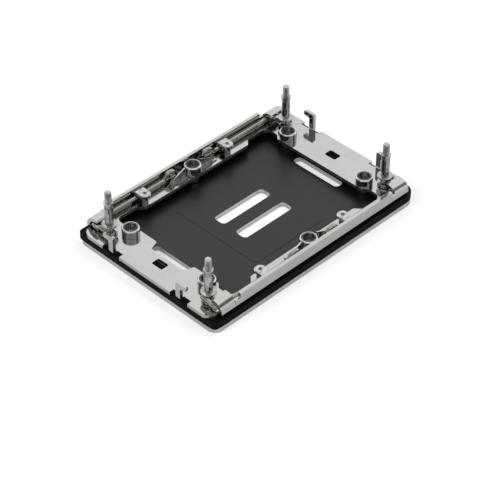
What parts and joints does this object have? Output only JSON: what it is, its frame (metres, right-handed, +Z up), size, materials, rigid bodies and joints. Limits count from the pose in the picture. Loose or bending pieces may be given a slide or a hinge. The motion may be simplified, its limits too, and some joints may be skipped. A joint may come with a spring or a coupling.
{
  "type": "cpu socket retention frame",
  "caption": "Polished steel frame on a backing plate that clamps a server processor socket to its board, with spring-loaded studs for the heatsink.",
  "frame": {"origin": "middle of the backing plate's underside", "axes": "+X along the long rails, +Y across the frame, +Z up out of the plate, along the studs"},
  "size_m": [0.1222, 0.083, 0.0289],
  "materials": {
    "plate_steel": "plain rolled steel, satin",
    "black_film": "thin black plastic film, fine matt grain",
    "black_plastic": "black moulded plastic, semi-matt",
    "polished_steel": "bright nickel-plated sheet, almost a mirror",
    "turned_steel": "turned and plated steel",
    "spring_steel": "drawn spring wire, bright, slightly brown",
    "plated_steel": "nickel-plated steel"
  },
  "bodies": {
    "base": {"backing_plate": "plate_steel", "insulator_sheet": "black_film", "edge_spacer": "black_plastic", "bolster_frame": "polished_steel", "plate_stud_left_far": "plate_steel", "wire_clamp_left_far": "polished_steel", "clamp_rivet_left_far": "polished_steel", "plate_stud_right_far": "plate_steel", "wire_clamp_right_far": "polished_steel", "clamp_rivet_right_far": "polished_steel", "plate_stud_left_near": "plate_steel", "wire_clamp_left_near": "polished_steel", "clamp_rivet_left_near": "polished_steel", "plate_stud_right_near": "plate_steel", "wire_clamp_right_near": "polished_steel", "clamp_rivet_right_near": "polished_steel", "plate_stud_middle_far": "plate_steel", "wire_stop_far": "polished_steel", "plate_stud_middle_near": "plate_steel", "wire_stop_near": "polished_steel"},
    "stud_left_far": {"heatsink_stud_left_far": "turned_steel"},
    "wire_left_far": {"load_wire_left_far": "spring_steel"},
    "nut_left_far": {"corner_nut_left_far": "plated_steel"},
    "stud_right_far": {"heatsink_stud_right_far": "turned_steel"},
    "wire_right_far": {"load_wire_right_far": "spring_steel"},
    "nut_right_far": {"corner_nut_right_far": "plated_steel"},
    "stud_left_near": {"heatsink_stud_left_near": "turned_steel"},
    "wire_left_near": {"load_wire_left_near": "spring_steel"},
    "nut_left_near": {"corner_nut_left_near": "plated_steel"},
    "stud_right_near": {"heatsink_stud_right_near": "turned_steel"},
    "wire_right_near": {"load_wire_right_near": "spring_steel"},
    "nut_right_near": {"corner_nut_right_near": "plated_steel"},
    "nut_middle_far": {"middle_nut_far": "plated_steel"},
    "nut_middle_near": {"middle_nut_near": "plated_steel"}
  },
  "joints": [
    {"name": "stud_lift_left_far", "type": "slide", "parent": "base", "child": "stud_left_far", "axis": [0, 0, 1], "range_m": [0, 0.0008], "stiffness_N_per_m": 2000, "springref_m": -0.0005},
    {"name": "wire_twist_left_far", "type": "hinge", "parent": "base", "child": "wire_left_far", "pos_m": [0, 0.0375, 0.0091], "axis": [-1, 0, 0], "range_deg": [0, 6.1]},
    {"name": "nut_turn_left_far", "type": "hinge", "parent": "base", "child": "nut_left_far", "pos_m": [-0.0474, 0.023, 0.009], "axis": [0, 0, 1], "continuous": true},
    {"name": "stud_lift_right_far", "type": "slide", "parent": "base", "child": "stud_right_far", "axis": [0, 0, 1], "range_m": [0, 0.0008], "stiffness_N_per_m": 2000, "springref_m": -0.0005},
    {"name": "wire_twist_right_far", "type": "hinge", "parent": "base", "child": "wire_right_far", "pos_m": [0, 0.0375, 0.0091], "axis": [-1, 0, 0], "range_deg": [0, 6.1]},
    {"name": "nut_turn_right_far", "type": "hinge", "parent": "base", "child": "nut_right_far", "pos_m": [0.0474, 0.023, 0.009], "axis": [0, 0, 1], "continuous": true},
    {"name": "stud_lift_left_near", "type": "slide", "parent": "base", "child": "stud_left_near", "axis": [0, 0, 1], "range_m": [0, 0.0008], "stiffness_N_per_m": 2000, "springref_m": -0.0005},
    {"name": "wire_twist_left_near", "type": "hinge", "parent": "base", "child": "wire_left_near", "pos_m": [0, -0.0375, 0.0091], "axis": [1, 0, 0], "range_deg": [0, 6.1]},
    {"name": "nut_turn_left_near", "type": "hinge", "parent": "base", "child": "nut_left_near", "pos_m": [-0.0474, -0.023, 0.009], "axis": [0, 0, 1], "continuous": true},
    {"name": "stud_lift_right_near", "type": "slide", "parent": "base", "child": "stud_right_near", "axis": [0, 0, 1], "range_m": [0, 0.0008], "stiffness_N_per_m": 2000, "springref_m": -0.0005},
    {"name": "wire_twist_right_near", "type": "hinge", "parent": "base", "child": "wire_right_near", "pos_m": [0, -0.0375, 0.0091], "axis": [1, 0, 0], "range_deg": [0, 6.1]},
    {"name": "nut_turn_right_near", "type": "hinge", "parent": "base", "child": "nut_right_near", "pos_m": [0.0474, -0.023, 0.009], "axis": [0, 0, 1], "continuous": true},
    {"name": "nut_turn_middle_far", "type": "hinge", "parent": "base", "child": "nut_middle_far", "pos_m": [0, 0.035, 0.009], "axis": [0, 0, 1], "continuous": true},
    {"name": "nut_turn_middle_near", "type": "hinge", "parent": "base", "child": "nut_middle_near", "pos_m": [0, -0.035, 0.009], "axis": [0, 0, 1], "continuous": true}
  ],
  "couplings": [
    {"joint": "wire_twist_left_far", "follows": "stud_lift_left_far", "rad_per_m": 131.58},
    {"joint": "wire_twist_right_far", "follows": "stud_lift_right_far", "rad_per_m": 131.58},
    {"joint": "wire_twist_left_near", "follows": "stud_lift_left_near", "rad_per_m": 131.58},
    {"joint": "wire_twist_right_near", "follows": "stud_lift_right_near", "rad_per_m": 131.58}
  ]
}
